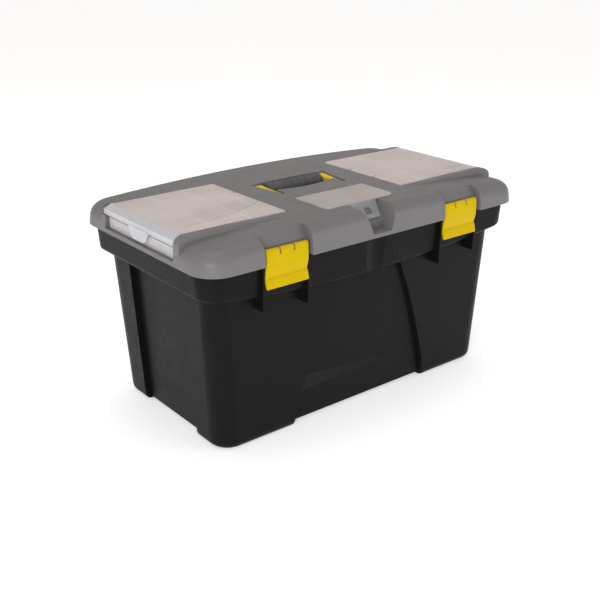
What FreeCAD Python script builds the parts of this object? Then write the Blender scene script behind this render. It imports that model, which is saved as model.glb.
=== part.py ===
import FreeCAD, Part
import math
import os

# A portable plastic toolbox: a black tub with a lift-out tray, and a grey lid that carries
# two lift-out organizer bins, a small centre compartment, a folding handle and two latches.
# Millimetres. +X is the long way, -Y is the front with the latches, +Y has the lid hinge,
# and the origin is at the middle of the footprint, level with the undersides of the feet.

V = FreeCAD.Vector

# ---- driving dimensions -------------------------------------------------------------------
LID_HALF_X = 280.0          # half length of the lid, the longest part
LID_HALF_Y = 160.0          # half width of the lid
LID_EDGE_Z = 258.7          # lower edge of the lid's skirt
LID_CORNER = 37.0           # plan radius of the lid's corners
LID_TAPER = 4.0             # how far the skirt leans in on each side
LID_CROWN_Z = 296.5         # top of the lid at its middle
LID_CROWN_R = 3800.0        # radius of the crown, which falls away towards both ends
LID_ROUND = 20.0            # rounding of the lid's top edges
LID_WALL = 3.0
WELL_WALL = 2.2             # wall of the wells moulded into the lid
DEEP = 320.0                # a height above everything, for cutters

TUB_WALL = 2.6
BAND_TOP_Z = 257.0          # top of the tub's outer band
RIM_TOP_Z = 260.0           # thin rim inside the lid's skirt
RIM_HALF_X = 266.5
RIM_HALF_Y = 142.0
RIM_WALL = 2.5
BAND_HALF_X = 272.0
BAND_HALF_Y = 147.0
BAND_CORNER = 27.0
BAND_DRAFT = 3.0            # how much narrower the band is at its foot
BAND_FOOT_Z = 196.0
SMILE_Z = 205.0             # lowest point of the band's curved lower edge
SMILE_R = 2100.0            # radius of that edge
BODY_TOP_Z = 230.0
BODY_TOP_X = 258.6
BODY_TOP_Y = 134.3
BODY_FOOT_X = 245.0
BODY_FOOT_Y = 128.0
BODY_CORNER = 30.0
FOOT_RISE = 6.0             # clear height under the middle of the tub

SCOOP_R = 40.0              # thumb scoop in the middle of the band's front
SCOOP_DEPTH = 4.5

PANEL_TOP_X = 59.0          # half width of the front recess under the band
PANEL_MID_X = 98.0
PANEL_MID_Z = 105.0
PANEL_FOOT_X = 125.0
PANEL_LEAN = 11.0           # the recess's back leans in by this towards its foot
PANEL_BACK_Y = -127.6       # the recess's back at its top
END_PANEL_Y = 68.0          # half width of the end recesses
END_PANEL_X = 249.6         # the end recess's back at its top
END_PANEL_LEAN = 16.0
END_PANEL_RISE = 9.0        # how far the end recess goes on above the lowest point of the band
UNDER_HALF_Y = 70.0         # half widths of the clear strips between the feet
UNDER_HALF_X = 125.0

FIN_INNER_X = 120.5         # the ribs on each side of a latch
FIN_INNER_FOOT_Z = 190.5
FIN_OUTER_X = 191.6
FIN_OUTER_FOOT_Z = 196.5
FIN_HALF = 1.25
FIN_FRONT_Y = -152.4

LATCH_X = 156.3             # centre of each latch
LATCH_HALF = 32.8
LATCH_AXIS_Y = -150.5
LATCH_AXIS_Z = 273.5
LATCH_KNUCKLE_R = 4.0
LATCH_LUG_X = 11.0          # offset of the lid's two lugs from the latch's centre
LATCH_LUG_HALF = 0.9
LATCH_SLIT_HALF = 1.2
LATCH_SLIT_Z = 269.6        # lower end of the slits
LATCH_PIN_R = 1.5
LATCH_RECESS_HALF = 37.0
LATCH_WALL_Y = -146.0       # back wall of the recess that the latch lies in
LATCH_RECESS_Z = 279.0      # where that wall starts to slope back
KEEPER_Y = -146.3           # the bead that the latch snaps over
KEEPER_Z = 240.0
KEEPER_R = 3.0
KEEPER_HALF = 26.0

HINGE_Y = 153.5
HINGE_Z = 251.0
HINGE_X = 150.0
HINGE_R = 5.0
HINGE_PIN_R = 2.0
HINGE_LID_HALF = 12.0       # half length of the lid's knuckle
HINGE_GAP = 0.4
HINGE_TUB_END = 31.0        # outer ends of the tub's pair of knuckles

RUN_FIT = 0.05              # radial clearance of every pin in a turning bore

BAY_IN_X = 103.0            # inner wall of an organizer bay
BAY_HALF_Y = 86.5
BAY_FLOOR_Z = 264.5
PLATFORM_Z = 297.0          # top of the raised border round a bay
PLATFORM_FRONT_Y = -96.0
PLATFORM_BACK_Y = 94.0
PLATFORM_END_X = 278.3
PLATFORM_ROUND = 13.0
PLATFORM_LEVEL_X = 205.0    # inward of here the border slopes down to meet the crown
PLATFORM_IN_Z = 294.2
EAR_X = 262.5               # outward of here the cover's folded end is wider at the back
EAR_Y = 93.0
EAR_FLOOR_Z = 282.3

BIN_IN_X = 105.0
BIN_OUT_X = 271.4
BIN_STEP_X = 273.6          # the thicker foot of the bin's outer wall
BIN_STEP_Z = 279.4
BIN_HALF_Y = 85.0
BIN_FLOOR_Z = 264.9
BIN_WALL = 1.6
BIN_TOP_Z = 294.3
BIN_HINGE_WALL_Z = 291.0
BIN_END_WALL_Z = 289.0      # top of the outer wall, under the cover's fold

COVER_TOP_Z = 296.8
COVER_SHEET = 2.0
COVER_AXIS_X = 107.0
COVER_AXIS_Z = 294.2
COVER_BARREL_R = 2.6
COVER_ROD_R = 1.0
COVER_CREASE_X = 266.0      # where the sheet folds down towards its outer end
COVER_END_X = 276.0
COVER_END_Z = 290.0         # foot of the sloping fold, top of the short skirt
COVER_SKIRT_Z = 283.4
COVER_LIP = 0.7             # how far the rim of the skirt stands out
COVER_TAB_TOP = 24.0        # half widths of the thumb tab
COVER_TAB_FOOT = 12.0
COVER_TAB_Z = 268.5
GROOVE_IN_Y = -28.0         # the curved groove in the cover, at its inner edge,
GROOVE_MID_Y = -55.5        # in the middle
GROOVE_OUT_Y = -61.0        # and at its outer end
GROOVE_HALF = 0.8
GROOVE_DEEP = 0.7
LUG_Y = 27.0                # the bin's two hinge lugs, each side of the middle
LUG_HALF = 1.8
LUG_GAP = 0.4

POCKET_FOOT_Z = 263.8       # floor of the thumb pocket under the clear tab
POCKET_FOOT_HALF = 16.5
POCKET_TOP_HALF = 35.6
POCKET_WALL_Y = -141.0
POCKET_BEND_Z = 273.4       # above here the pocket's wall slopes back
POCKET_SLOPE_Y = 29.0
POCKET_SLOPE_Z = 297.3

WELL_HALF_X = 56.0          # the small compartment under the centre cover
WELL_FRONT_Y = -112.0
WELL_BACK_Y = -52.0
CENTRE_FIT = 0.6            # gap round the centre cover
CENTRE_BACK_Y = -45.2
CENTRE_HALF_X = 61.0
CENTRE_FRONT_Y = -117.0
CENTRE_AXIS_Y = -48.9
CENTRE_AXIS_Z = 294.2
CENTRE_BARREL_R = 3.3
CENTRE_TOP_Z = 297.5
CENTRE_SHEET = 2.0
CENTRE_PIN_R = 1.0
CENTRE_WELL_Z = 268.0
TAB_TOP_HALF = 23.0
TAB_FOOT_HALF = 13.5
TAB_FOOT_Y = -138.0
TAB_FOOT_Z = 279.0
TAB_HOLE = 5.0              # half of the square hole that the catch pokes through

HANDLE_PIVOT_Y = -12.5
HANDLE_PIVOT_Z = 289.5
HANDLE_PIN_R = 1.5
HANDLE_TOP_Z = 294.3
HANDLE_FOOT_Z = 284.9
GRIP_Y = 33.0
GRIP_Z = 288.2
GRIP_R = 9.6
GRIP_CROWN = 1.6            # how far each finger segment stands out
GRIP_HALF = 48.5
GRIP_SEGMENTS = 7
CORE_R = 4.0
FINGER_WELL_Z = 266.0

TRAY_HALF_X = 247.5
TRAY_HALF_Y = 125.5
TRAY_FOOT_Z = 214.0
TRAY_TOP_Z = 253.0
TRAY_FLANGE_X = 261.5
TRAY_FLANGE_Y = 136.5
TRAY_FLANGE_Z = 227.0
TRAY_WALL = 2.0
TRAY_CORNER = 18.0
TRAY_DRAFT = 3.0
TRAY_AISLE_Y = 22.0         # the two long partitions, each side of the carrying bar
TRAY_AISLE_Z = 248.0
TRAY_CROSS_X = 125.0        # cross partitions behind the aisle
TRAY_CROSS_Z = 244.0
TRAY_BAR_TOP_Z = 254.0
TRAY_BAR_FOOT_HALF = 70.0
TRAY_BAR_TOP_HALF = 63.0
TRAY_SLOT_HALF = 48.0
LEDGE_TOP_Z = 226.8         # blocks in the tub's corners that the tray stands on
LEDGE_FOOT_Z = 216.0
LEDGE_IN_X = 236.0
LEDGE_OUT_X = 267.5
LEDGE_IN_Y = 90.0
LEDGE_OUT_Y = 143.0
TRAY_FIT = 1.2              # clearance between the ledge blocks and the tray


# ---- small helpers ------------------------------------------------------------------------
def box(x0, x1, y0, y1, z0, z1):
    return Part.makeBox(x1 - x0, y1 - y0, z1 - z0, V(x0, y0, z0))


def rod_x(x0, x1, y, z, r):
    return Part.makeCylinder(r, x1 - x0, V(x0, y, z), V(1, 0, 0))


def rod_y(y0, y1, x, z, r):
    return Part.makeCylinder(r, y1 - y0, V(x, y0, z), V(0, 1, 0))


def fuse(shapes):
    result = shapes[0]
    for shape in shapes[1:]:
        result = result.fuse(shape)
    return result.removeSplitter()


def cut(shape, tools):
    for tool in tools:
        shape = shape.cut(tool)
    return shape


def mirror_x(shape):
    return shape.mirror(V(0, 0, 0), V(1, 0, 0))


def both_ends(shape):
    return [shape, mirror_x(shape)]


def round_rect(hx, hy, r, z):
    """A closed wire: a rectangle with round corners, lying at height z."""
    c = r * math.sqrt(0.5)
    edges = []
    for sx, sy in ((1, -1), (1, 1), (-1, 1), (-1, -1)):
        cx = sx * (hx - r)
        cy = sy * (hy - r)
        low = V(cx, sy * hy, z)
        side = V(sx * hx, cy, z)
        start, end = (low, side) if sx * sy < 0 else (side, low)
        edges.append(Part.Arc(start, V(cx + sx * c, cy + sy * c, z), end).toShape())
    wire = []
    for i, arc in enumerate(edges):
        wire.append(arc)
        following = edges[(i + 1) % 4]
        gap = (arc.lastVertex(True).Point, following.firstVertex(True).Point)
        wire.append(Part.makeLine(*gap))
    return Part.Wire(wire)


def tapered_block(foot, top):
    """A solid between two round rectangles, each given as (hx, hy, r, z)."""
    return Part.makeLoft([round_rect(*foot), round_rect(*top)], True, True)


def prism_x(points, x0, x1):
    """A polygon of (y, z) points stretched along X."""
    corners = [V(x0, y, z) for y, z in points]
    face = Part.Face(Part.makePolygon(corners + corners[:1]))
    return face.extrude(V(x1 - x0, 0, 0))


def prism_y(points, y0, y1):
    """A polygon of (x, z) points stretched along Y."""
    corners = [V(x, y0, z) for x, z in points]
    face = Part.Face(Part.makePolygon(corners + corners[:1]))
    return face.extrude(V(0, y1 - y0, 0))


def prism_z(points, z0, z1):
    """A polygon of (x, y) points stretched along Z."""
    corners = [V(x, y, z0) for x, y in points]
    face = Part.Face(Part.makePolygon(corners + corners[:1]))
    return face.extrude(V(0, 0, z1 - z0))


def round_edges(shape, radius, chosen):
    """Fillet the edges that the test picks out."""
    return shape.makeFillet(radius, [e for e in shape.Edges if chosen(e)])


def edge_z(edge):
    box_z = edge.BoundBox
    return box_z.ZMin, box_z.ZMax


# ---- tub ----------------------------------------------------------------------------------
def below_smile(offset):
    """Everything under the band's curved lower edge, raised by the offset."""
    reach = 400.0
    sag = reach * reach / (2 * SMILE_R)
    low = SMILE_Z + offset
    ends = low + sag
    arc = Part.Arc(V(-reach, -reach, ends), V(0, -reach, low), V(reach, -reach, ends)).toShape()
    base = Part.makePolygon([V(reach, -reach, ends), V(reach, -reach, -reach),
                             V(-reach, -reach, -reach), V(-reach, -reach, ends)])
    wire = Part.Wire([arc] + base.Edges)
    return Part.Face(wire).extrude(V(0, 2 * reach, 0))


def tub_body(inset, foot_z):
    """The tapered lower body, or its inside when inset by the wall."""
    lean_x = (BODY_TOP_X - BODY_FOOT_X) / BODY_TOP_Z
    lean_y = (BODY_TOP_Y - BODY_FOOT_Y) / BODY_TOP_Z
    r = BODY_CORNER - inset
    foot = (BODY_FOOT_X + lean_x * foot_z - inset, BODY_FOOT_Y + lean_y * foot_z - inset, r, foot_z)
    top = (BODY_TOP_X - inset, BODY_TOP_Y - inset, r, BODY_TOP_Z)
    body = tapered_block(foot, top)
    return round_edges(body, 12.0 - inset, lambda e: edge_z(e)[1] < foot_z + 0.1)


def tub_band(inset, smile_offset, top_z):
    """The wider band round the top, above its curved lower edge."""
    r = BAND_CORNER - inset
    slope = BAND_DRAFT / (BAND_TOP_Z - BAND_FOOT_Z)
    grow = slope * (top_z - BAND_TOP_Z)
    foot = (BAND_HALF_X - BAND_DRAFT - inset, BAND_HALF_Y - BAND_DRAFT - inset, r, BAND_FOOT_Z)
    top = (BAND_HALF_X + grow - inset, BAND_HALF_Y + grow - inset, r, top_z)
    return tapered_block(foot, top).cut(below_smile(smile_offset))


def front_panel(grow):
    """The shallow recess in the front, wider at its foot, with curved sides."""
    x_top = PANEL_TOP_X + grow
    x_mid = PANEL_MID_X + grow
    x_foot = PANEL_FOOT_X + grow
    z_top = SMILE_Z + grow
    z_foot = -60.0
    x_low = x_foot + 10.0
    right = Part.Arc(V(x_top, 0, z_top), V(x_mid, 0, PANEL_MID_Z), V(x_foot, 0, 8)).toShape()
    left = Part.Arc(V(-x_foot, 0, 8), V(-x_mid, 0, PANEL_MID_Z), V(-x_top, 0, z_top)).toShape()
    foot = Part.makePolygon([V(x_foot, 0, 8), V(x_low, 0, z_foot), V(-x_low, 0, z_foot),
                             V(-x_foot, 0, 8)])
    top = Part.makeLine(V(-x_top, 0, z_top), V(x_top, 0, z_top))
    wire = Part.Wire([right] + foot.Edges + [left, top])
    outline = Part.Face(wire).extrude(V(0, -200, 0))
    top_y = PANEL_BACK_Y + grow
    foot_y = top_y + PANEL_LEAN
    back = [(-220, z_foot), (foot_y, z_foot), (top_y, z_top + 1), (-220, z_top + 1)]
    return outline.common(prism_x(back, -200, 200))


def end_panel(grow):
    """The shallow recess in the right-hand end."""
    half = END_PANEL_Y + grow
    z_top = SMILE_Z + END_PANEL_RISE + grow
    x_top = END_PANEL_X - grow
    x_foot = x_top - END_PANEL_LEAN
    return prism_y([(x_foot, -60), (300, -60), (300, z_top), (x_top, z_top)], -half, half)


def tub_recesses(grow):
    front = front_panel(grow)
    back = front.mirror(V(0, 0, 0), V(0, 1, 0))
    half_x = UNDER_HALF_X + grow
    half_y = UNDER_HALF_Y + grow
    under_x = box(-300, 300, -half_y, half_y, -60, FOOT_RISE + grow)
    under_y = box(-half_x, half_x, -200, 200, -60, FOOT_RISE + grow)
    return [front, back, under_x, under_y] + both_ends(end_panel(grow))


def tub_rim():
    """The thin wall that stands up inside the lid's skirt."""
    foot = (RIM_HALF_X, RIM_HALF_Y, 24, BAND_TOP_Z - 6)
    return tapered_block(foot, (RIM_HALF_X, RIM_HALF_Y, 24, RIM_TOP_Z))


def thumb_scoop(grow):
    """The shallow upright hollow in the middle of the band's front."""
    reach = SCOOP_R + grow
    return Part.makeCylinder(reach, 80, V(0, SCOOP_DEPTH - BAND_HALF_Y - SCOOP_R, 190), V(0, 0, 1))


def tub_fins():
    """The upright ribs on each side of both latches."""
    fins = []
    top_z = BAND_TOP_Z - 0.5
    for x, foot_z in ((FIN_INNER_X, FIN_INNER_FOOT_Z), (FIN_OUTER_X, FIN_OUTER_FOOT_Z)):
        outline = [(-130, foot_z), (FIN_FRONT_Y + 0.9, foot_z), (FIN_FRONT_Y, top_z), (-130, top_z)]
        fins += both_ends(prism_x(outline, x - FIN_HALF, x + FIN_HALF))
    return fins


def latch_keeper():
    """The rounded bead on the band that a latch snaps over."""
    return both_ends(rod_x(LATCH_X - KEEPER_HALF, LATCH_X + KEEPER_HALF, KEEPER_Y, KEEPER_Z, KEEPER_R))


def tub_knuckles():
    """The two pairs of hinge knuckles behind the band."""
    knuckles = []
    for start, end in ((-HINGE_TUB_END, -HINGE_LID_HALF - HINGE_GAP),
                       (HINGE_LID_HALF + HINGE_GAP, HINGE_TUB_END)):
        x0 = HINGE_X + start
        x1 = HINGE_X + end
        web = prism_x([(145, 232), (147.5, 232), (HINGE_Y + HINGE_R * 0.7, HINGE_Z - HINGE_R * 0.7),
                       (HINGE_Y, HINGE_Z + 3), (145, HINGE_Z + 3)], x0, x1)
        knuckles += both_ends(fuse([rod_x(x0, x1, HINGE_Y, HINGE_Z, HINGE_R), web]))
    return knuckles


def tray_body(grow):
    """The tapered block that the tray's walls follow."""
    r = TRAY_CORNER + grow
    foot = (TRAY_HALF_X - TRAY_DRAFT + grow, TRAY_HALF_Y - TRAY_DRAFT + grow, r, TRAY_FOOT_Z)
    return tapered_block(foot, (TRAY_HALF_X + grow, TRAY_HALF_Y + grow, r, TRAY_TOP_Z))


def tray_ledges():
    """Corner blocks that fill the ledge level with the tray's flange."""
    block = box(LEDGE_IN_X, LEDGE_OUT_X, LEDGE_IN_Y, LEDGE_OUT_Y, LEDGE_FOOT_Z, LEDGE_TOP_Z)
    block = block.cut(tray_body(TRAY_FIT))
    right = [block, block.mirror(V(0, 0, 0), V(0, 1, 0))]
    return right + [mirror_x(b) for b in right]


def make_tub():
    band = round_edges(tub_band(0, 0, BAND_TOP_Z), 5.0, lambda e: edge_z(e)[1] < 230)
    outer = fuse([cut(tub_body(0, 0), tub_recesses(0)), band, tub_rim()] + tub_fins())
    outer = fuse([outer] + latch_keeper() + tub_knuckles())
    hollow_low = cut(tub_body(TUB_WALL, TUB_WALL), tub_recesses(TUB_WALL))
    hollow_band = tub_band(TUB_WALL, TUB_WALL + 0.6, BAND_TOP_Z - 3).cut(thumb_scoop(TUB_WALL))
    mouth_x = RIM_HALF_X - RIM_WALL
    mouth_y = RIM_HALF_Y - RIM_WALL
    mouth = tapered_block((mouth_x, mouth_y, 22, BAND_TOP_Z - 4), (mouth_x, mouth_y, 22, DEEP))
    hollow = fuse([hollow_low, hollow_band, mouth])
    scoop = thumb_scoop(0).common(box(-60, 60, -200, -100, 190, BAND_TOP_Z - 5))
    inner = outer.common(fuse([tub_body(0, 0), tub_band(0, 0, BAND_TOP_Z)]))
    ledges = [inner.common(block) for block in tray_ledges()]
    bores = both_ends(rod_x(HINGE_X - 40, HINGE_X + 40, HINGE_Y, HINGE_Z, HINGE_PIN_R + RUN_FIT))
    shell = cut(outer, [hollow, scoop] + bores)
    return fuse([shell] + ledges)


# ---- lid ----------------------------------------------------------------------------------
def crown_block(drop):
    """Everything under the lid's crown, which curves down towards both ends."""
    reach = 330.0
    top = LID_CROWN_Z - drop
    side = top - reach * reach / (2 * LID_CROWN_R)
    arc = Part.Arc(V(-reach, -200, side), V(0, -200, top), V(reach, -200, side)).toShape()
    base = Part.makePolygon([V(reach, -200, side), V(reach, -200, 200),
                             V(-reach, -200, 200), V(-reach, -200, side)])
    return Part.Face(Part.Wire([arc] + base.Edges)).extrude(V(0, 400, 0))


def lid_form(inset, foot_z):
    """The lid's rounded shape, or its inside when inset by the wall."""
    top_z = 302.0
    lean = LID_TAPER / (top_z - LID_EDGE_Z)
    r = LID_CORNER - inset
    grow = lean * (LID_EDGE_Z - foot_z)
    foot = (LID_HALF_X - inset + grow, LID_HALF_Y - inset + grow, r, foot_z)
    top = (LID_HALF_X - inset - LID_TAPER, LID_HALF_Y - inset - LID_TAPER, r, top_z)
    form = tapered_block(foot, top).common(crown_block(inset))
    return round_edges(form, LID_ROUND - inset * 0.5, lambda e: edge_z(e)[0] > 270)


def platform():
    """The raised block at the right-hand end that frames the organizer bay."""
    foot_z = 262.0
    along = prism_y([(BAY_IN_X, foot_z), (PLATFORM_END_X, foot_z), (PLATFORM_END_X, PLATFORM_Z),
                     (PLATFORM_LEVEL_X, PLATFORM_Z), (BAY_IN_X, PLATFORM_IN_Z)], -200, 200)
    end_top = lambda e: edge_z(e)[0] > PLATFORM_Z - 1 and e.BoundBox.XMin > PLATFORM_END_X - 0.1
    along = round_edges(along, PLATFORM_ROUND, end_top)
    front = PLATFORM_FRONT_Y
    back = PLATFORM_BACK_Y
    side_z = PLATFORM_Z - 5
    across = prism_x([(front - 3.5, foot_z), (front - 3.5, side_z), (front - 1, PLATFORM_Z - 1.6),
                      (front + 2.5, PLATFORM_Z + 1), (back - 1.5, PLATFORM_Z + 1),
                      (back, PLATFORM_Z - 1.6), (back + 1, side_z), (back + 1, foot_z)], 0, 300)
    return along.common(across)


def bay(grow):
    """The space for one organizer, open at the lid's end and wider there at the back."""
    space = box(BAY_IN_X - grow, 330, -BAY_HALF_Y - grow, BAY_HALF_Y + grow, BAY_FLOOR_Z - grow, DEEP)
    ear = box(EAR_X - grow, 330, 0, EAR_Y + 1 + grow, EAR_FLOOR_Z - grow, DEEP)
    return space.fuse(ear)


def latch_recess(grow):
    """The cut in the lid's front where the right-hand latch lies."""
    y = LATCH_WALL_Y + grow
    bend_z = LATCH_RECESS_Z - 0.4 * grow
    profile = [(-170, 240), (y, 240), (y, bend_z), (y + 22, bend_z + 27), (-170, bend_z + 27)]
    half = LATCH_RECESS_HALF + grow
    return prism_x(profile, LATCH_X - half, LATCH_X + half)


def front_pocket(grow):
    """The thumb pocket in the middle of the lid's front, under the clear tab."""
    foot_z = POCKET_FOOT_Z - grow
    foot_x = POCKET_FOOT_HALF + grow
    top_x = POCKET_TOP_HALF + grow
    front = prism_y([(-foot_x, foot_z), (foot_x, foot_z), (top_x, DEEP), (-top_x, DEEP)], -170, -100)
    wall_y = POCKET_WALL_Y + grow
    back_y = wall_y + POCKET_SLOPE_Y
    drop = grow * 0.5
    profile = [(-170, foot_z), (wall_y, foot_z), (wall_y + 0.5, POCKET_BEND_Z - drop),
               (back_y, POCKET_SLOPE_Z - drop), (back_y, DEEP), (-170, DEEP)]
    return front.common(prism_x(profile, -60, 60))


def centre_well(grow):
    """The small compartment under the centre cover, with the rebate for the cover."""
    half = WELL_HALF_X + grow
    well = box(-half, half, WELL_FRONT_Y - grow, WELL_BACK_Y + grow, CENTRE_WELL_Z - grow, DEEP)
    half = CENTRE_HALF_X + CENTRE_FIT + grow
    foot_z = CENTRE_AXIS_Z - CENTRE_BARREL_R - 0.5 - grow
    groove = box(-half, half, WELL_BACK_Y - 2, CENTRE_BACK_Y + grow, foot_z, DEEP)
    return well.fuse(groove)


def centre_rebate():
    """The shallow seat that the centre cover lies in."""
    half = CENTRE_HALF_X + CENTRE_FIT
    foot_z = CENTRE_TOP_Z - CENTRE_SHEET - 0.3
    seat = box(-half, half, CENTRE_FRONT_Y - CENTRE_FIT, CENTRE_BACK_Y, foot_z, DEEP)
    return round_edges(seat, 12.5, lambda e: edge_z(e)[1] - edge_z(e)[0] > 1 and e.BoundBox.YMax < -100)


def arm_outline(grow):
    """Plan of the handle's right-hand arm, narrow at its pivot."""
    front = -17.2 - grow
    back = 44.5 + grow
    return [(53.6 - grow, front), (58.0 + grow, front), (58.2 + grow, -3), (66.0 + grow, back),
            (49.8 - grow, back), (52.6 - grow, 15)]


def finger_well(grow):
    """The hollow under the handle, with a bowed front edge."""
    half = 53.0 + grow
    front = 5.0 - grow
    arc = Part.Arc(V(-half, front, 0), V(0, -5 - grow, 0), V(half, front, 0)).toShape()
    back = 47.5 + grow
    rest = Part.makePolygon([V(half, front, 0), V(half, back, 0), V(-half, back, 0), V(-half, front, 0)])
    well = Part.Face(Part.Wire([arc] + rest.Edges)).extrude(V(0, 0, 60))
    well.translate(V(0, 0, FINGER_WELL_Z - grow))
    return well


def handle_wells(grow):
    arms = both_ends(prism_z(arm_outline(1.0 + grow), HANDLE_FOOT_Z - 1.0 - grow, DEEP))
    return fuse([finger_well(grow)] + arms)


def lid_wells(grow):
    wells = both_ends(bay(grow)) + both_ends(latch_recess(grow))
    return wells + [front_pocket(grow), centre_well(grow), handle_wells(grow)]


def latch_lugs():
    """The thin lugs that carry both latch pins."""
    lugs = []
    for offset in (-LATCH_LUG_X, LATCH_LUG_X):
        x0 = LATCH_X + offset - LATCH_LUG_HALF
        x1 = LATCH_X + offset + LATCH_LUG_HALF
        eye = rod_x(x0, x1, LATCH_AXIS_Y, LATCH_AXIS_Z, 3.4)
        web = box(x0, x1, LATCH_AXIS_Y, LATCH_WALL_Y + 1, LATCH_AXIS_Z - 3.4, LATCH_AXIS_Z + 3.4)
        lugs += both_ends(eye.fuse(web))
    return lugs


def lid_knuckles():
    """The lid's hinge knuckles, hung from its back edge."""
    x0 = HINGE_X - HINGE_LID_HALF
    x1 = HINGE_X + HINGE_LID_HALF
    web = box(x0, x1, HINGE_Y, 158.8, HINGE_Z, 264)
    return both_ends(fuse([rod_x(x0, x1, HINGE_Y, HINGE_Z, HINGE_R), web]))


def catch_nub():
    """The catch that pokes through the hole in the clear tab."""
    side = [(-131, 278), (-131, 283.6), (-129.5, 285.4), (-125.6, 287.8), (-125.6, 280)]
    return prism_x(side, -3, 3)


def make_lid():
    outer = fuse([lid_form(0, LID_EDGE_Z)] + both_ends(platform()))
    shaped = cut(outer, lid_wells(0) + [centre_rebate()])
    hollow = cut(lid_form(LID_WALL, LID_EDGE_Z - 5), lid_wells(WELL_WALL))
    shell = shaped.cut(hollow)
    shell = fuse([shell] + latch_lugs() + lid_knuckles() + [catch_nub()])
    bores = both_ends(rod_x(HINGE_X - 40, HINGE_X + 40, HINGE_Y, HINGE_Z, HINGE_PIN_R + RUN_FIT))
    bores += both_ends(rod_x(LATCH_X - 20, LATCH_X + 20, LATCH_AXIS_Y, LATCH_AXIS_Z, LATCH_PIN_R + RUN_FIT))
    bores += both_ends(rod_x(50.4, 62.6, HANDLE_PIVOT_Y, HANDLE_PIVOT_Z, HANDLE_PIN_R + RUN_FIT))
    bores.append(rod_x(-65, 65, CENTRE_AXIS_Y, CENTRE_AXIS_Z, CENTRE_PIN_R + RUN_FIT))
    return cut(shell, bores)


def hinge_pin():
    return rod_x(HINGE_X - HINGE_TUB_END, HINGE_X + HINGE_TUB_END, HINGE_Y, HINGE_Z, HINGE_PIN_R)


# ---- latches ------------------------------------------------------------------------------
def latch_profile():
    """Side view of a latch as (y, z): a curved plate with a lip at its foot."""
    top = LATCH_AXIS_Z + LATCH_KNUCKLE_R
    return [(LATCH_AXIS_Y, top), (-153.4, top - 0.6), (-154.6, 273), (-155.0, 264), (-154.9, 254),
            (-153.8, 248), (-152.3, 243), (-151.9, 240.6), (-153.4, 238.2), (-155.6, 230),
            (-156.0, 226.7), (-153.4, 226.7), (-151.6, 232), (-149.9, 236.5), (-149.9, 245),
            (-151.4, 252), (-151.4, 265), (-150.4, 269.6)]


def make_latch():
    x0 = LATCH_X - LATCH_HALF
    x1 = LATCH_X + LATCH_HALF
    plate = prism_x(latch_profile(), x0, x1)
    plate = plate.fuse(rod_x(x0, x1, LATCH_AXIS_Y, LATCH_AXIS_Z, LATCH_KNUCKLE_R)).removeSplitter()
    slits = []
    for offset in (-LATCH_LUG_X, LATCH_LUG_X):
        middle = LATCH_X + offset
        slits.append(box(middle - LATCH_SLIT_HALF, middle + LATCH_SLIT_HALF, -160, -140, LATCH_SLIT_Z, 280))
    bore = rod_x(x0 - 1, x1 + 1, LATCH_AXIS_Y, LATCH_AXIS_Z, LATCH_PIN_R + RUN_FIT)
    return cut(plate, slits + [bore])


def latch_pin():
    return rod_x(LATCH_X - LATCH_HALF + 0.5, LATCH_X + LATCH_HALF - 0.5, LATCH_AXIS_Y, LATCH_AXIS_Z,
                 LATCH_PIN_R)


# ---- handle -------------------------------------------------------------------------------
def make_handle_frame():
    """Two flat arms joined by a round core inside the grip."""
    arm = prism_z(arm_outline(0), HANDLE_FOOT_Z, HANDLE_TOP_Z)
    arm = round_edges(arm, 1.2, lambda e: edge_z(e)[0] > HANDLE_TOP_Z - 0.1)
    behind = box(40, 80, HANDLE_PIVOT_Y, 60, 280, 300)
    nose = rod_x(40, 80, HANDLE_PIVOT_Y, HANDLE_PIVOT_Z, 4.6)
    arm = arm.common(behind.fuse(nose))
    core = rod_x(-53, 53, GRIP_Y, GRIP_Z, CORE_R)
    frame = fuse(both_ends(arm) + [core])
    bore = rod_x(-70, 70, HANDLE_PIVOT_Y, HANDLE_PIVOT_Z, HANDLE_PIN_R + RUN_FIT)
    return frame.cut(bore)


def make_handle_grip():
    """A soft sleeve of finger segments, each slightly crowned."""
    pitch = 2 * GRIP_HALF / GRIP_SEGMENTS
    edges = []
    for i in range(GRIP_SEGMENTS):
        x0 = -GRIP_HALF + i * pitch
        middle = V(x0 + pitch / 2, 0, GRIP_R + GRIP_CROWN)
        edges.append(Part.Arc(V(x0, 0, GRIP_R), middle, V(x0 + pitch, 0, GRIP_R)).toShape())
    inner = CORE_R + RUN_FIT
    side = Part.makePolygon([V(GRIP_HALF, 0, GRIP_R), V(GRIP_HALF, 0, inner),
                             V(-GRIP_HALF, 0, inner), V(-GRIP_HALF, 0, GRIP_R)])
    sleeve = Part.Face(Part.Wire(edges + side.Edges)).revolve(V(0, 0, 0), V(1, 0, 0), 360)
    sleeve.translate(V(0, GRIP_Y, GRIP_Z))
    return sleeve


def handle_pin():
    return rod_x(50.6, 62.4, HANDLE_PIVOT_Y, HANDLE_PIVOT_Z, HANDLE_PIN_R)


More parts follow.
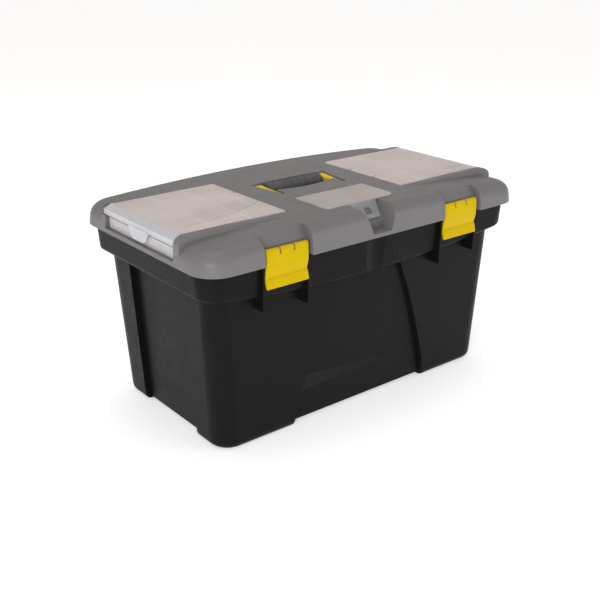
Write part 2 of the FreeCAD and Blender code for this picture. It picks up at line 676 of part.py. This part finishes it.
# ---- organizers ---------------------------------------------------------------------------
def make_bin():
    """The right-hand organizer bin, with its hinge lugs."""
    outer = box(BIN_IN_X, BIN_OUT_X, -BIN_HALF_Y, BIN_HALF_Y, BIN_FLOOR_Z, BIN_TOP_Z)
    foot = box(BIN_OUT_X - 3, BIN_STEP_X, -BIN_HALF_Y, BIN_HALF_Y, BIN_FLOOR_Z, BIN_STEP_Z)
    outer = round_edges(outer, 3.0, lambda e: e.BoundBox.ZLength > 10)
    foot = round_edges(foot, 2.0, lambda e: e.BoundBox.ZLength > 10 and e.BoundBox.XMin > BIN_OUT_X)
    outer = outer.fuse(foot)
    inner = box(BIN_IN_X + BIN_WALL, BIN_OUT_X - BIN_WALL, -BIN_HALF_Y + BIN_WALL, BIN_HALF_Y - BIN_WALL,
                BIN_FLOOR_Z + BIN_WALL, DEEP)
    hinge_side = box(BIN_IN_X - 1, COVER_AXIS_X + COVER_BARREL_R + 0.5, -100, 100, BIN_HINGE_WALL_Z, DEEP)
    end_wall = box(COVER_CREASE_X - 4, BIN_STEP_X + 1, -100, 100, BIN_END_WALL_Z, DEEP)
    shell = cut(outer, [inner, hinge_side, end_wall])
    lugs = []
    for y in (-LUG_Y, LUG_Y):
        lugs.append(box(BIN_IN_X, COVER_AXIS_X + 2.4, y - LUG_HALF, y + LUG_HALF, 284, 296.2))
    shell = fuse([shell] + lugs)
    bore = rod_y(-60, 60, COVER_AXIS_X, COVER_AXIS_Z, COVER_ROD_R + RUN_FIT)
    mouth_half = COVER_ROD_R - 0.15
    mouth = box(COVER_AXIS_X - mouth_half, COVER_AXIS_X + mouth_half, -60, 60, COVER_AXIS_Z, DEEP)
    return cut(shell, [bore, mouth])


def cover_fold(start_x):
    """Side view of the cover's sheet as (x, z), from a given x to the rim of its short skirt."""
    low = COVER_TOP_Z - COVER_SHEET
    inside_x = COVER_END_X - COVER_SHEET
    rim_x = COVER_END_X + COVER_LIP
    return [(start_x, low), (start_x, COVER_TOP_Z), (COVER_CREASE_X, COVER_TOP_Z),
            (COVER_END_X, COVER_END_Z), (COVER_END_X, COVER_SKIRT_Z + 1.8), (rim_x, COVER_SKIRT_Z + 1.4),
            (rim_x, COVER_SKIRT_Z), (inside_x, COVER_SKIRT_Z), (inside_x, COVER_END_Z - 1.2),
            (COVER_CREASE_X - 0.8, low)]


def cover_tab():
    """The thumb tab that hangs from the cover's skirt."""
    inner_x = COVER_END_X - 1.2
    outer_x = COVER_END_X + 1.6
    foot_z = COVER_TAB_Z - 10
    side = prism_y([(inner_x, foot_z), (outer_x, foot_z), (outer_x, COVER_SKIRT_Z + 1),
                    (inner_x, COVER_END_Z - 2)], -40, 40)
    shoulder_z = COVER_TAB_Z + 3
    side_y = (COVER_TAB_TOP + COVER_TAB_FOOT) / 2
    face = prism_x([(-COVER_TAB_TOP, COVER_END_Z), (-COVER_TAB_TOP, COVER_SKIRT_Z),
                    (-side_y, shoulder_z), (-COVER_TAB_FOOT, COVER_TAB_Z), (COVER_TAB_FOOT, COVER_TAB_Z),
                    (side_y, shoulder_z), (COVER_TAB_TOP, COVER_SKIRT_Z), (COVER_TAB_TOP, COVER_END_Z)],
                   0, 300)
    return side.common(face)


def cover_groove():
    """The shallow curved groove across the front third of the cover."""
    inner = V(COVER_AXIS_X, GROOVE_IN_Y, 0)
    middle = V((COVER_AXIS_X + COVER_CREASE_X) / 2, GROOVE_MID_Y, 0)
    outer = V(COVER_CREASE_X, GROOVE_OUT_Y, 0)
    circle = Part.Arc(inner, middle, outer).toShape().Curve
    at = V(circle.Center.x, circle.Center.y, COVER_TOP_Z - GROOVE_DEEP)
    ring = Part.makeCylinder(circle.Radius + GROOVE_HALF, 10, at)
    ring = ring.cut(Part.makeCylinder(circle.Radius - GROOVE_HALF, 10, at))
    return ring.common(box(COVER_AXIS_X + 5, COVER_CREASE_X - 6, -BIN_HALF_Y, 0, 280, DEEP))


def make_cover():
    """The right-hand organizer cover: a sheet folded down at its outer end, with a thumb tab."""
    sheet = prism_y(cover_fold(COVER_AXIS_X), -BIN_HALF_Y, BIN_HALF_Y)
    start_x = EAR_X + 1
    rim_x = COVER_END_X + 2
    root_y = BIN_HALF_Y - 3
    plan = prism_z([(start_x, root_y), (start_x, BIN_HALF_Y), (COVER_CREASE_X, BIN_HALF_Y + 3),
                    (COVER_END_X, EAR_Y), (rim_x, EAR_Y), (rim_x, root_y)], 270, 300)
    ear = prism_y(cover_fold(start_x), root_y, EAR_Y).common(plan)
    barrel = rod_y(-BIN_HALF_Y, BIN_HALF_Y, COVER_AXIS_X, COVER_AXIS_Z, COVER_BARREL_R)
    sheet = fuse([sheet, ear, cover_tab(), barrel])
    gaps = [cover_groove()]
    for y in (-LUG_Y, LUG_Y):
        half = LUG_HALF + LUG_GAP
        gaps.append(box(100, COVER_AXIS_X + 3.2, y - half, y + half, 285, DEEP))
    rod = rod_y(-BIN_HALF_Y + 1, BIN_HALF_Y - 1, COVER_AXIS_X, COVER_AXIS_Z, COVER_ROD_R)
    return fuse([cut(sheet, gaps), rod])


def make_dividers():
    """The plates that part the right-hand bin into six."""
    x0 = BIN_IN_X + BIN_WALL + 0.3
    x1 = BIN_OUT_X - BIN_WALL - 0.3
    z0 = BIN_FLOOR_Z + BIN_WALL
    z1 = BIN_END_WALL_Z
    plates = [box(x0, x1, -0.6, 0.6, z0, z1)]
    reach = BIN_HALF_Y - BIN_WALL - 0.3
    for third in (1, 2):
        x = x0 + (x1 - x0) * third / 3
        plates.append(box(x - 0.6, x + 0.6, 0.9, reach, z0, z1))
        plates.append(box(x - 0.6, x + 0.6, -reach, -0.9, z0, z1))
    return Part.makeCompound(plates)


# ---- centre cover -------------------------------------------------------------------------
def make_centre_cover():
    """The clear cover of the centre compartment, with its sloping catch tab."""
    low = CENTRE_TOP_Z - CENTRE_SHEET
    sheet = box(-CENTRE_HALF_X, CENTRE_HALF_X, CENTRE_FRONT_Y, CENTRE_AXIS_Y, low, CENTRE_TOP_Z)
    sheet = round_edges(sheet, 12.0, lambda e: e.BoundBox.ZLength > 1 and e.BoundBox.YMax < -110)
    barrel = rod_x(-CENTRE_HALF_X, CENTRE_HALF_X, CENTRE_AXIS_Y, CENTRE_AXIS_Z, CENTRE_BARREL_R)
    root_y = CENTRE_FRONT_Y + 1.8
    lean = [(TAB_FOOT_Y, TAB_FOOT_Z), (TAB_FOOT_Y + 1.6, TAB_FOOT_Z - 1.3),
            (root_y, low), (root_y, CENTRE_TOP_Z), (CENTRE_FRONT_Y, CENTRE_TOP_Z)]
    strip = prism_x(lean, -40, 40)
    inner_y = CENTRE_FRONT_Y + 4
    tip_y = TAB_FOOT_Y - 3
    plan = prism_z([(-TAB_TOP_HALF, inner_y), (-TAB_TOP_HALF, CENTRE_FRONT_Y),
                    (-TAB_FOOT_HALF, tip_y), (TAB_FOOT_HALF, tip_y),
                    (TAB_TOP_HALF, CENTRE_FRONT_Y), (TAB_TOP_HALF, inner_y)], 270, 300)
    hole = box(-TAB_HOLE, TAB_HOLE, -133, -123.4, 270, 300)
    tab = strip.common(plan).cut(hole)
    cover = fuse([sheet, barrel, tab])
    return cover.cut(rod_x(-70, 70, CENTRE_AXIS_Y, CENTRE_AXIS_Z, CENTRE_PIN_R + RUN_FIT))


# ---- tray ---------------------------------------------------------------------------------
def make_tray():
    """A one-piece lift-out tray with a flange, partitions and a carrying bar."""
    flange = tapered_block((TRAY_FLANGE_X, TRAY_FLANGE_Y, 20, TRAY_FLANGE_Z),
                           (TRAY_FLANGE_X, TRAY_FLANGE_Y, 20, TRAY_FLANGE_Z + TRAY_WALL))
    w = TRAY_WALL
    r = TRAY_CORNER - w
    hollow = tapered_block((TRAY_HALF_X - TRAY_DRAFT - w, TRAY_HALF_Y - TRAY_DRAFT - w, r, TRAY_FOOT_Z + w),
                           (TRAY_HALF_X - w, TRAY_HALF_Y - w, r, TRAY_TOP_Z + 1))
    end = TRAY_HALF_X - 1.5
    side = TRAY_HALF_Y - 1.5
    aisle = TRAY_AISLE_Y
    walls = [box(-end, end, -aisle, -aisle + w, TRAY_FOOT_Z, TRAY_AISLE_Z),
             box(-end, end, aisle - w, aisle, TRAY_FOOT_Z, TRAY_AISLE_Z)]
    for x in (-TRAY_CROSS_X, 0, TRAY_CROSS_X):
        walls.append(box(x - w / 2, x + w / 2, aisle - w, side, TRAY_FOOT_Z, TRAY_CROSS_Z))
    walls.append(box(-w / 2, w / 2, -side, -aisle + w, TRAY_FOOT_Z, TRAY_CROSS_Z))
    bar = prism_y([(-TRAY_BAR_FOOT_HALF, TRAY_FOOT_Z), (TRAY_BAR_FOOT_HALF, TRAY_FOOT_Z),
                   (TRAY_BAR_TOP_HALF, TRAY_BAR_TOP_Z), (-TRAY_BAR_TOP_HALF, TRAY_BAR_TOP_Z)], -w, w)
    slot = box(-TRAY_SLOT_HALF, TRAY_SLOT_HALF, -5, 5, TRAY_FLANGE_Z + 1, TRAY_BAR_TOP_Z - 8)
    slot = round_edges(slot, 6.0, lambda e: e.BoundBox.YLength > 5)
    shell = tray_body(0).fuse(flange).cut(hollow)
    return fuse([shell] + walls + [bar.cut(slot)])


# ---- export -------------------------------------------------------------------------------
def save(name, shape):
    shape.exportStep(os.path.join("parts", name + ".step"))


def save_pair(name, right):
    """The right-hand piece and its mirror image at the left."""
    save(name + "_right", right)
    save(name + "_left", mirror_x(right))


def main():
    os.makedirs("parts", exist_ok=True)
    save("tub", make_tub())
    save("tray", make_tray())
    save("lid", make_lid())
    save_pair("lid_hinge_pin", hinge_pin())
    save_pair("latch", make_latch())
    save_pair("latch_pin", latch_pin())
    save("handle_frame", make_handle_frame())
    save("handle_grip", make_handle_grip())
    save_pair("handle_pivot_pin", handle_pin())
    save_pair("organizer_bin", make_bin())
    save_pair("organizer_cover", make_cover())
    save_pair("organizer_dividers", make_dividers())
    save("centre_cover", make_centre_cover())
    save("centre_cover_pin", rod_x(-64.5, 64.5, CENTRE_AXIS_Y, CENTRE_AXIS_Z, CENTRE_PIN_R))


main()
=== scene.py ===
import math

import bpy
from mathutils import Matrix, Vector


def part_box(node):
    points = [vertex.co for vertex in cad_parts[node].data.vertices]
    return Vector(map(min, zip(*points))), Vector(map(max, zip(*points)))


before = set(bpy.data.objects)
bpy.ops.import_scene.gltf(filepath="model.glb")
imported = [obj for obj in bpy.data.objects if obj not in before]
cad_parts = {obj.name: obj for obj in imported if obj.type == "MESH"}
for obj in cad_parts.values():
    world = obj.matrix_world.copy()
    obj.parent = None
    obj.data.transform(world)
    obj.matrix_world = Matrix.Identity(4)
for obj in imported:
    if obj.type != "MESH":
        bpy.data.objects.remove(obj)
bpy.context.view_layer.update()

# A plastic toolbox: black tub and tray, grey lid, yellow latches and handle, frosted covers.
# Metres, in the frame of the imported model: +X along the box, -Y the front, +Z up.

MM = 0.001

# ---- driving values -----------------------------------------------------------------------
CAMERA_AT = (-0.8175, -1.0062, 0.6449)
CAMERA_YAW = 38.62          # degrees, turned from +Y towards +X
CAMERA_DOWN = 22.17         # degrees below the horizon
CAMERA_LENS = 55.65
SENSOR = 36.0
SKY_STRENGTH = 0.56
FLOOR_GLOW = 0.45           # a lit backdrop, so that the floor stays white to the horizon
FLOOR_REACH = 12.0
LAMP_TARGET = (0, 0, 0.15)
PAINTED_LINE_HALF = 1.4 * MM       # half width of the painted paler lines, light showing up through the bins' plates
FOLD_START = 4.5 * MM       # the covers turn down this far inside the plates' outer end
FOLD_FULL = 3.0 * MM
TAB_BACK = 21.0 * MM        # the centre cover's tab, back from its tip
TAB_BLUR = 1.0 * MM
WELD_GAP = 2e-6
SHARP_ANGLE = 32.0          # degrees; edges sharper than this are rounded
LATCH_ROUND = 0.5 * MM
THIN_ROUND = 0.4 * MM
TUB_ROUND = 0.8 * MM

# ---- camera and stage ---------------------------------------------------------------------


def make_camera():
    camera = bpy.data.objects.new("camera", bpy.data.cameras.new("camera"))
    camera.data.sensor_width = SENSOR
    camera.data.lens = CAMERA_LENS
    camera.data.clip_start = 0.01
    camera.data.clip_end = 50.0
    camera.location = CAMERA_AT
    camera.rotation_euler = (math.radians(90 - CAMERA_DOWN), 0, math.radians(-CAMERA_YAW))
    bpy.context.scene.collection.objects.link(camera)
    bpy.context.scene.camera = camera


def make_light(name, at, size, power, tint):
    lamp = bpy.data.lights.new(name, "AREA")
    lamp.shape = "DISK"
    lamp.color = tint
    lamp.size = size
    lamp.energy = power
    light = bpy.data.objects.new(name, lamp)
    light.location = at
    aim = Vector(LAMP_TARGET) - Vector(at)
    light.rotation_euler = aim.to_track_quat("-Z", "Y").to_euler()
    bpy.context.scene.collection.objects.link(light)


def make_studio():
    """A pale floor under an even white sky, with soft lamps in front and above."""
    world = bpy.data.worlds.new("studio")
    world.use_nodes = True
    nodes = world.node_tree.nodes
    links = world.node_tree.links
    seen = nodes["Background"]
    seen.inputs["Color"].default_value = (1.0, 1.0, 1.0, 1.0)
    seen.inputs["Strength"].default_value = 1.0
    lighting = nodes.new("ShaderNodeBackground")
    lighting.inputs["Color"].default_value = (1.0, 0.965, 0.94, 1.0)
    lighting.inputs["Strength"].default_value = SKY_STRENGTH
    path = nodes.new("ShaderNodeLightPath")
    mix = nodes.new("ShaderNodeMixShader")
    links.new(path.outputs["Is Camera Ray"], mix.inputs[0])
    links.new(lighting.outputs[0], mix.inputs[1])
    links.new(seen.outputs[0], mix.inputs[2])
    links.new(mix.outputs[0], nodes["World Output"].inputs["Surface"])
    bpy.context.scene.world = world
    bpy.context.scene.view_settings.view_transform = "Standard"
    make_light("key", (-1.9, -1.5, 0.9), 1.1, 25.0, (0.92, 0.93, 1.0))
    make_light("top", (0.2, 0.5, 2.4), 1.8, 10.0, (1.0, 0.95, 0.91))
    make_light("side", (1.3, -1.9, 0.8), 1.0, 7.0, (0.93, 0.94, 1.0))
    mesh = bpy.data.meshes.new("floor")
    reach = FLOOR_REACH
    corners = [(-reach, -reach, 0), (reach, -reach, 0), (reach, reach, 0), (-reach, reach, 0)]
    mesh.from_pydata(corners, [], [(0, 1, 2, 3)])
    floor = bpy.data.objects.new("floor", mesh)
    bpy.context.scene.collection.objects.link(floor)
    floor.data.materials.append(floor_material())


# ---- materials ----------------------------------------------------------------------------
class Shader:
    """A material with one Principled shader and short calls for the nodes round it."""

    def __init__(self, name):
        self.material = bpy.data.materials.new(name)
        self.material.use_nodes = True
        self.nodes = self.material.node_tree.nodes
        self.links = self.material.node_tree.links
        self.surface = self.nodes["Principled BSDF"]
        self.place = self.nodes.new("ShaderNodeTexCoord").outputs["Object"]

    def set(self, **values):
        for key, value in values.items():
            self.surface.inputs[key.replace("_", " ")].default_value = value

    def link(self, source, socket):
        self.links.new(source, self.surface.inputs[socket])

    def noise(self, scale, detail=3.0, roughness=0.5, stretch=None):
        """Noise whose scale is in features per metre."""
        node = self.nodes.new("ShaderNodeTexNoise")
        node.inputs["Scale"].default_value = scale
        node.inputs["Detail"].default_value = detail
        node.inputs["Roughness"].default_value = roughness
        source = self.place
        if stretch:
            mapping = self.nodes.new("ShaderNodeMapping")
            mapping.inputs["Scale"].default_value = stretch
            self.links.new(self.place, mapping.inputs["Vector"])
            source = mapping.outputs["Vector"]
        self.links.new(source, node.inputs["Vector"])
        return node.outputs["Fac"]

    def band(self, source, low, high, out_low=0.0, out_high=1.0):
        """The source's stretch from low to high, spread over the given outputs."""
        node = self.nodes.new("ShaderNodeMapRange")
        node.inputs["From Min"].default_value = low
        node.inputs["From Max"].default_value = high
        node.inputs["To Min"].default_value = out_low
        node.inputs["To Max"].default_value = out_high
        self.links.new(source, node.inputs["Value"])
        return node.outputs["Result"]

    def axis(self, name, fold=False):
        """One coordinate of the object, or its size without its sign."""
        parts = self.nodes.new("ShaderNodeSeparateXYZ")
        self.links.new(self.place, parts.inputs["Vector"])
        if not fold:
            return parts.outputs[name]
        size = self.nodes.new("ShaderNodeMath")
        size.operation = "ABSOLUTE"
        self.links.new(parts.outputs[name], size.inputs[0])
        return size.outputs["Value"]

    def stripe(self, source, at, half):
        """One within half a width of a coordinate, and nothing outside it."""
        node = self.nodes.new("ShaderNodeMath")
        node.operation = "COMPARE"
        node.inputs[1].default_value = at
        node.inputs[2].default_value = half
        self.links.new(source, node.inputs[0])
        return node.outputs["Value"]

    def most(self, a, b):
        node = self.nodes.new("ShaderNodeMath")
        node.operation = "MAXIMUM"
        self.links.new(a, node.inputs[0])
        self.links.new(b, node.inputs[1])
        return node.outputs["Value"]

    def times(self, a, b):
        node = self.nodes.new("ShaderNodeMath")
        node.operation = "MULTIPLY"
        self.links.new(a, node.inputs[0])
        self.links.new(b, node.inputs[1])
        return node.outputs["Value"]

    def plus(self, a, b):
        node = self.nodes.new("ShaderNodeMath")
        node.operation = "ADD"
        self.links.new(a, node.inputs[0])
        self.links.new(b, node.inputs[1])
        return node.outputs["Value"]

    def blend(self, factor, first, second):
        """A colour between two, each a colour or another node's output."""
        node = self.nodes.new("ShaderNodeMix")
        node.data_type = "RGBA"
        self.links.new(factor, node.inputs["Factor"])
        for socket, value in (("A", first), ("B", second)):
            target = [i for i in node.inputs if i.name == socket and i.type == "RGBA"][0]
            if isinstance(value, tuple):
                target.default_value = value + (1.0,)
            else:
                self.links.new(value, target)
        return [o for o in node.outputs if o.type == "RGBA"][0]

    def bump(self, height, strength, distance):
        node = self.nodes.new("ShaderNodeBump")
        node.inputs["Strength"].default_value = strength
        node.inputs["Distance"].default_value = distance
        self.links.new(height, node.inputs["Height"])
        self.links.new(node.outputs["Normal"], self.surface.inputs["Normal"])


def moulded(name, colour, worn, rough, grain, wear, shine):
    """Moulded plastic: a fine spark-eroded grain, faint flow marks, light scuffs and rubbed spots."""
    s = Shader(name)
    flow = s.band(s.noise(14.0, 4.0, 0.6, stretch=(1.0, 1.0, 0.35)), 0.3, 0.7, 0.0, 0.35)
    patches = s.band(s.noise(5.0, 5.0, 0.65), 0.52, 0.72)
    scratches = s.band(s.noise(220.0, 2.0, 0.7, stretch=(0.12, 1.0, 0.25)), 0.60, 0.74)
    scuffs = s.band(s.times(patches, scratches), 0.0, 1.0, 0.0, wear)
    deeper = tuple(c * 0.82 for c in colour)
    s.link(s.blend(scuffs, s.blend(flow, colour, deeper), worn), "Base Color")
    sheen = s.plus(s.band(s.noise(60.0, 4.0, 0.6), 0.3, 0.7, rough - 0.05, rough + 0.05), scuffs)
    s.link(s.band(sheen, 0.0, 1.0), "Roughness")
    speckle = s.noise(1500.0, 2.0, 0.5)
    s.bump(s.plus(speckle, s.band(scratches, 0.0, 1.0, 0.0, -0.5)), grain, 0.00012)
    s.set(Specular_IOR_Level=shine)
    return s.material


def frosted(name, colour, alpha, rough):
    """Translucent plastic: cloudy, with faint flow lines and fine handling scratches."""
    s = Shader(name)
    cloud = s.band(s.noise(18.0, 4.0, 0.6), 0.3, 0.7)
    warmer = tuple(c * 0.88 for c in colour)
    s.link(s.blend(cloud, colour, warmer), "Base Color")
    s.link(s.band(s.noise(90.0, 3.0, 0.6), 0.3, 0.7, rough - 0.06, rough + 0.08), "Roughness")
    s.bump(s.noise(700.0, 2.0, 0.5), 0.25, 0.0001)
    s.link(s.band(cloud, 0.0, 1.0, alpha - 0.03, alpha + 0.03), "Alpha")
    s.set(Specular_IOR_Level=0.5)
    return s.material


def cover_sheet(name, plates):
    """The organizer covers: milky, with painted paler lines of light showing up through the bin's plates,
    and paler along the folded end.
    """
    s = Shader(name)
    low, high = plates
    third = (high[0] - low[0]) / 3
    along = s.axis("X", fold=True)
    across = s.axis("Y")
    # painted light: paler lines over the plates, where light shows up through them from below
    light_through_plates = s.stripe(across, 0.0, PAINTED_LINE_HALF)
    for count in (1, 2):
        light_through_plates = s.most(light_through_plates, s.stripe(along, low[0] + count * third, PAINTED_LINE_HALF))
    patch = s.band(s.noise(11.0, 3.0, 0.55, stretch=(1.0, 1.6, 1.0)), 0.42, 0.66)
    streaks = s.band(s.noise(60.0, 2.0, 0.5, stretch=(1.0, 0.15, 1.0)), 0.40, 0.70)
    tone = s.blend(patch, (0.74, 0.665, 0.64), (0.63, 0.575, 0.55))
    tone = s.blend(s.band(streaks, 0.0, 1.0, 0.0, 0.25), tone, (0.80, 0.75, 0.73))
    tone = s.blend(s.band(light_through_plates, 0.0, 1.0, 0.0, 0.35), tone, (0.86, 0.82, 0.80))
    fold = s.band(along, high[0] - FOLD_START, high[0] - FOLD_FULL)
    tone = s.blend(fold, tone, (0.70, 0.70, 0.72))
    s.link(tone, "Base Color")
    s.link(s.band(fold, 0.0, 1.0, 0.82, 0.62), "Alpha")
    s.link(s.band(s.noise(90.0, 3.0, 0.6), 0.3, 0.7, 0.26, 0.42), "Roughness")
    s.bump(s.noise(160.0, 2.0, 0.5), 0.10, 0.0001)
    s.set(Specular_IOR_Level=0.5)
    return s.material


def centre_sheet(name, tab_y):
    """The centre cover: milky on top, clearer and greyer in its sloping tab."""
    s = Shader(name)
    tab = s.band(s.axis("Y"), tab_y + TAB_BLUR, tab_y - TAB_BLUR)
    cloud = s.band(s.noise(25.0, 4.0, 0.6), 0.35, 0.7)
    sheet = s.blend(cloud, (0.55, 0.50, 0.465), (0.47, 0.43, 0.40))
    clear = s.blend(s.band(s.noise(45.0, 2.0, 0.5), 0.35, 0.65), (0.31, 0.31, 0.325), (0.42, 0.42, 0.44))
    s.link(s.blend(tab, sheet, clear), "Base Color")
    s.link(s.band(tab, 0.0, 1.0, 0.86, 0.62), "Alpha")
    s.link(s.band(tab, 0.0, 1.0, 0.34, 0.16), "Roughness")
    s.bump(s.noise(500.0, 2.0, 0.5), 0.2, 0.0001)
    s.set(Specular_IOR_Level=0.5)
    return s.material


def soft_grip(name):
    """Dark grey soft-touch rubber, dusty in its hollows."""
    s = Shader(name)
    dust = s.band(s.noise(120.0, 5.0, 0.6), 0.35, 0.75)
    s.link(s.blend(dust, (0.060, 0.060, 0.067), (0.095, 0.095, 0.103)), "Base Color")
    s.link(s.band(s.noise(200.0, 3.0, 0.6), 0.3, 0.7, 0.55, 0.72), "Roughness")
    s.bump(s.noise(2200.0, 2.0, 0.5), 0.5, 0.00015)
    return s.material


def wire_steel(name):
    """Drawn wire with fine marks along its length."""
    s = Shader(name)
    marks = s.noise(3000.0, 2.0, 0.6, stretch=(0.02, 1.0, 1.0))
    s.link(s.blend(s.band(marks, 0.3, 0.7), (0.50, 0.50, 0.51), (0.62, 0.62, 0.63)), "Base Color")
    s.link(s.band(marks, 0.3, 0.7, 0.28, 0.42), "Roughness")
    s.bump(marks, 0.2, 0.00005)
    s.set(Metallic=1.0)
    return s.material


def floor_material():
    s = Shader("pale_floor")
    mottle = s.band(s.noise(3.0, 3.0), 0.3, 0.7)
    s.link(s.blend(mottle, (0.93, 0.93, 0.93), (0.91, 0.91, 0.91)), "Base Color")
    s.set(Roughness=0.9, Specular_IOR_Level=0.1)
    s.set(Emission_Color=(1.0, 1.0, 1.0, 1.0), Emission_Strength=FLOOR_GLOW)
    return s.material


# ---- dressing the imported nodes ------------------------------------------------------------
def soften_edges(node, width):
    """Small rounded edges, so that corners catch the light as moulded ones do."""
    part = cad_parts[node]
    weld = part.modifiers.new("weld", "WELD")
    weld.merge_threshold = WELD_GAP
    bevel = part.modifiers.new("bevel", "BEVEL")
    bevel.width = width
    bevel.segments = 2
    bevel.limit_method = "ANGLE"
    bevel.angle_limit = math.radians(SHARP_ANGLE)
    bevel.use_clamp_overlap = True


def dress(material, *nodes):
    for node in nodes:
        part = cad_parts[node]
        if not part.data.materials:
            part.data.materials.append(material)
        for slot in part.material_slots:
            slot.material = material


def both(name):
    return name + "_left", name + "_right"


def dress_all():
    black = moulded("tub_plastic", (0.0070, 0.0060, 0.0058), (0.034, 0.032, 0.031),
                    rough=0.38, grain=0.5, wear=0.5, shine=0.09)
    tray = moulded("tray_plastic", (0.012, 0.012, 0.013), (0.050, 0.050, 0.050),
                   rough=0.45, grain=0.4, wear=0.5, shine=0.25)
    grey = moulded("lid_plastic", (0.170, 0.163, 0.166), (0.26, 0.255, 0.26),
                   rough=0.40, grain=0.45, wear=0.3, shine=0.30)
    yellow = moulded("latch_plastic", (0.61, 0.43, 0.0), (0.66, 0.50, 0.02),
                     rough=0.36, grain=0.2, wear=0.25, shine=0.16)
    yellow.node_tree.nodes["Principled BSDF"].inputs["Specular Tint"].default_value = (1.0, 0.85, 0.25, 1.0)
    handle = moulded("handle_plastic", (0.80, 0.58, 0.01), (0.82, 0.63, 0.05),
                     rough=0.36, grain=0.2, wear=0.25, shine=0.20)
    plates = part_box("organizer_dividers_right")
    cover = cover_sheet("cover_plastic", plates)
    bin_clear = frosted("bin_plastic", (0.74, 0.73, 0.74), 0.62, 0.30)
    tab_clear = centre_sheet("centre_plastic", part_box("centre_cover")[0][1] + TAB_BACK)
    dress(black, "tub")
    dress(tray, "tray")
    dress(grey, "lid")
    dress(yellow, *both("latch"))
    dress(handle, "handle_frame")
    dress(soft_grip("grip_rubber"), "handle_grip")
    dress(cover, *both("organizer_cover"))
    dress(bin_clear, *both("organizer_bin"), *both("organizer_dividers"))
    dress(tab_clear, "centre_cover")
    pins = both("lid_hinge_pin") + both("latch_pin") + both("handle_pivot_pin") + ("centre_cover_pin",)
    dress(wire_steel("pin_steel"), *pins)
    for node in both("latch"):
        soften_edges(node, LATCH_ROUND)
    soften_edges("centre_cover", THIN_ROUND)
    soften_edges("handle_frame", THIN_ROUND)
    soften_edges("tub", TUB_ROUND)


make_camera()
make_studio()
dress_all()
